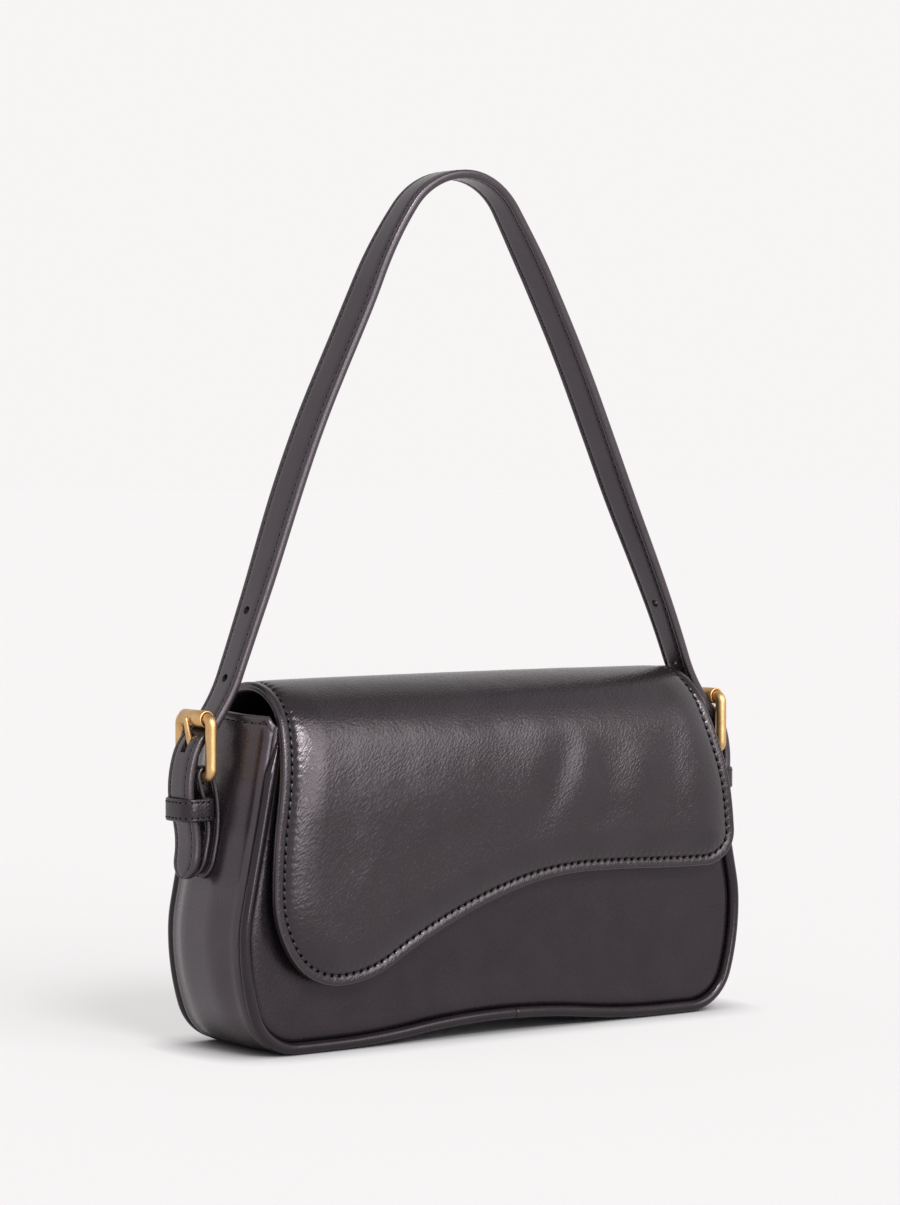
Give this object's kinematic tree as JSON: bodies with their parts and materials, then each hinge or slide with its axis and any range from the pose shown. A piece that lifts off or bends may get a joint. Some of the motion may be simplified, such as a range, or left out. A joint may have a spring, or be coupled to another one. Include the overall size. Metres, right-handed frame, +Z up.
{
  "type": "leather shoulder bag",
  "caption": "Small leather baguette bag: gusseted body with piping, a flap with a waved lower edge, and a shoulder strap held at each end by a brass roller buckle.",
  "frame": {"origin": "centre of the part's plan, on the surface that its base stands on", "axes": "+X across the bag to its right as seen from the front, +Y to the back, +Z up; the front faces -Y"},
  "size_m": [0.2882, 0.0702, 0.362],
  "materials": {
    "leather_black": "satin, fine grain",
    "lining_cloth": "plain weave",
    "board": "pressed fibre board",
    "padding": "soft felt",
    "brass": "satin, lightly aged",
    "snap_metal": "plated"
  },
  "bodies": {
    "bag": {"front_panel": "leather_black", "back_panel": "leather_black", "gusset": "leather_black", "front_piping": "leather_black", "back_piping": "leather_black", "lining": "lining_cloth", "front_board": "board", "back_board": "board", "base_board": "board", "flap_yoke": "leather_black", "snap_socket": "snap_metal", "snap_socket_washer": "snap_metal", "chape_right": "leather_black", "keeper_right": "leather_black", "strap_end_face_right": "leather_black", "strap_end_backing_right": "leather_black", "chape_left": "leather_black", "keeper_left": "leather_black", "strap_end_face_left": "leather_black", "strap_end_backing_left": "leather_black"},
    "flap": {"flap_outer": "leather_black", "flap_padding": "padding", "flap_facing": "leather_black", "snap_stud": "snap_metal", "snap_stud_washer": "snap_metal"},
    "strap": {"strap_face": "leather_black", "strap_backing": "leather_black"},
    "buckle_right": {"buckle_frame_right": "brass"},
    "prong_right": {"buckle_prong_right": "brass"},
    "roller_right": {"buckle_roller_right": "brass"},
    "buckle_left": {"buckle_frame_left": "brass"},
    "prong_left": {"buckle_prong_left": "brass"},
    "roller_left": {"buckle_roller_left": "brass"}
  },
  "joints": [
    {"name": "flap_hinge", "type": "hinge", "parent": "bag", "child": "flap", "pos_m": [0, 0.0032, 0.14977], "axis": [-1, 0, 0], "range_deg": [0, 68]},
    {"name": "strap_swing", "type": "hinge", "parent": "bag", "child": "strap", "pos_m": [0, 0.0012, 0.1482], "axis": [-1, 0, 0], "range_deg": [0, 60]},
    {"name": "buckle_swing_right", "type": "hinge", "parent": "bag", "child": "buckle_right", "pos_m": [0.1332, 0.0012, 0.1131], "axis": [0, 1, 0], "range_deg": [0, 6]},
    {"name": "prong_swing_right", "type": "hinge", "parent": "buckle_right", "child": "prong_right", "pos_m": [0.1332, 0.0012, 0.1131], "axis": [0, 1, 0], "range_deg": [0, 8]},
    {"name": "roller_turn_right", "type": "hinge", "parent": "buckle_right", "child": "roller_right", "pos_m": [0.1332, 0.0012, 0.1359], "axis": [0, 1, 0], "continuous": true},
    {"name": "buckle_swing_left", "type": "hinge", "parent": "bag", "child": "buckle_left", "pos_m": [-0.1332, 0.0012, 0.1131], "axis": [0, -1, 0], "range_deg": [0, 6]},
    {"name": "prong_swing_left", "type": "hinge", "parent": "buckle_left", "child": "prong_left", "pos_m": [-0.1332, 0.0012, 0.1131], "axis": [0, -1, 0], "range_deg": [0, 8]},
    {"name": "roller_turn_left", "type": "hinge", "parent": "buckle_left", "child": "roller_left", "pos_m": [-0.1332, 0.0012, 0.1359], "axis": [0, -1, 0], "continuous": true}
  ]
}
